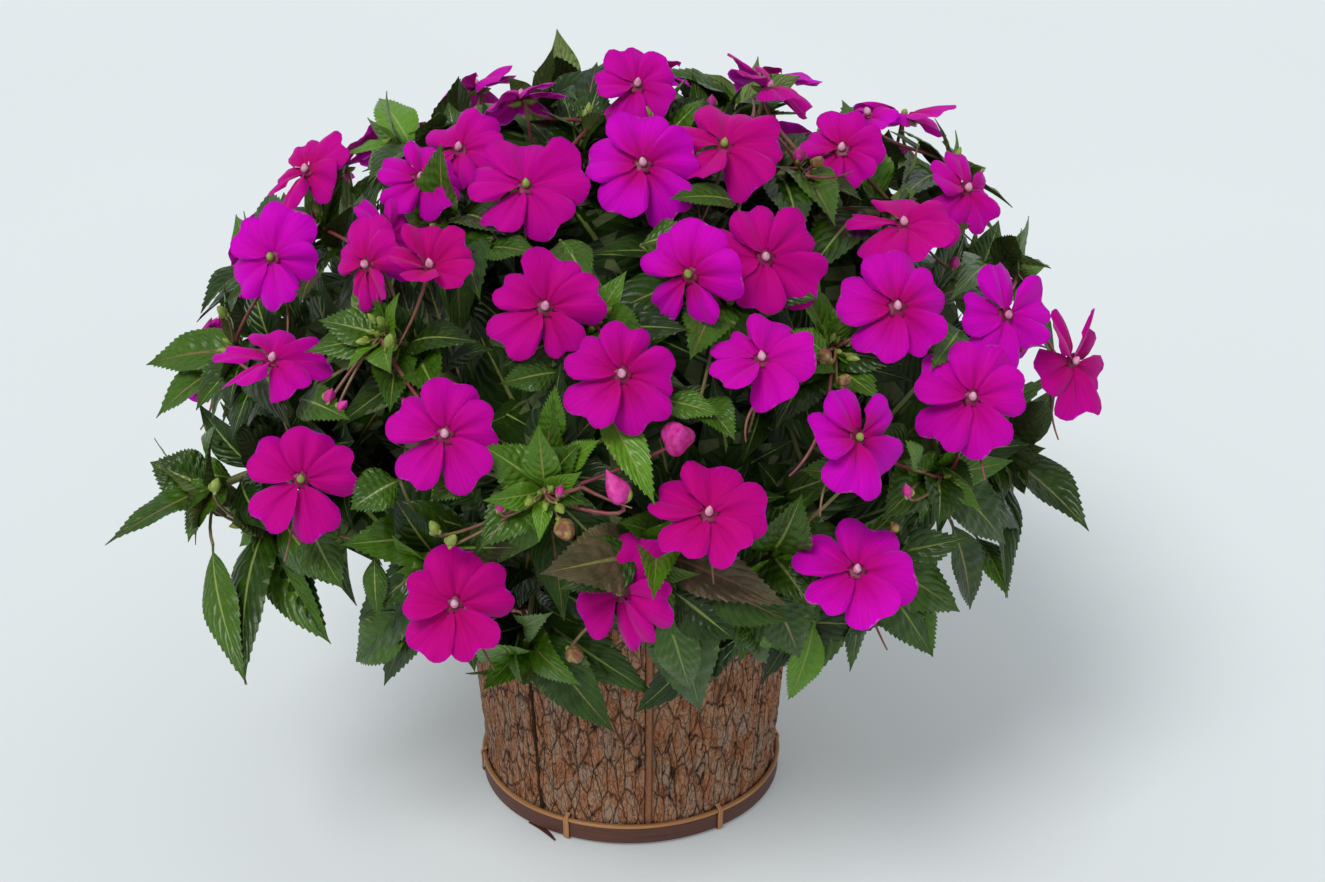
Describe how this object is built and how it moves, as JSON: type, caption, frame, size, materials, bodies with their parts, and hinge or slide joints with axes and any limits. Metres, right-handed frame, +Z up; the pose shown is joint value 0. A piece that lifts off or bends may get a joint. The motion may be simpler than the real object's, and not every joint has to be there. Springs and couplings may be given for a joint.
{
  "type": "potted flowering plant",
  "caption": "New Guinea impatiens in full bloom: a mound of toothed leaves and magenta flowers in a nursery pot inside a round bark planter with a cane hoop.",
  "frame": {"origin": "middle of the underside of the planter's base disc, at floor level", "axes": "+Z up, -Y towards the side that the picture shows"},
  "size_m": [0.5112, 0.4886, 0.4358],
  "materials": {
    "bark": "rough fissured bark",
    "dark_cane": "dark stained split cane, satin",
    "pale_cane": "light split cane, satin",
    "timber": "raw sawn timber",
    "nursery_plastic": "matt black moulded plastic",
    "soil": "damp peat compost",
    "leaf": "glossy dark green leaf",
    "petal": "soft satin magenta petal"
  },
  "bodies": {
    "root": {"bark_stave_1": "bark", "bark_stave_2": "bark", "bark_stave_3": "bark", "bark_stave_4": "bark", "bark_stave_5": "bark", "bark_stave_6": "bark", "bark_stave_7": "bark", "base_disc": "timber", "bloom_spray_01": "petal", "bloom_spray_02": "petal", "bloom_spray_03": "petal", "bloom_spray_04": "petal", "bloom_spray_05": "petal", "bloom_spray_06": "petal", "bloom_spray_07": "petal", "bloom_spray_08": "petal", "bloom_spray_09": "petal", "bloom_spray_10": "petal", "bloom_spray_11": "petal", "bloom_spray_12": "petal", "bloom_spray_13": "petal", "bloom_spray_14": "petal", "bloom_spray_15": "petal", "bloom_spray_16": "petal", "bloom_spray_17": "petal", "bloom_spray_18": "petal", "bloom_spray_19": "petal", "bloom_spray_20": "petal", "bloom_spray_21": "petal", "bloom_spray_22": "petal", "bloom_spray_23": "petal", "bloom_spray_24": "petal", "bloom_spray_25": "petal", "bloom_spray_26": "petal", "bloom_spray_27": "petal", "bloom_spray_28": "petal", "hoop_bead": "pale_cane", "hoop_strip": "dark_cane", "hoop_tail": "dark_cane", "hoop_tie_1": "pale_cane", "hoop_tie_2": "pale_cane", "hoop_tie_3": "pale_cane", "hoop_tie_4": "pale_cane", "hoop_tie_5": "pale_cane", "hoop_tie_6": "pale_cane", "leafy_stem_01": "leaf", "leafy_stem_02": "leaf", "leafy_stem_03": "leaf", "leafy_stem_04": "leaf", "leafy_stem_05": "leaf", "leafy_stem_06": "leaf", "leafy_stem_07": "leaf", "leafy_stem_08": "leaf", "leafy_stem_09": "leaf", "leafy_stem_10": "leaf", "leafy_stem_11": "leaf", "leafy_stem_12": "leaf", "nursery_pot": "nursery_plastic", "rim_ring": "timber", "soil": "soil"}
  },
  "joints": []
}
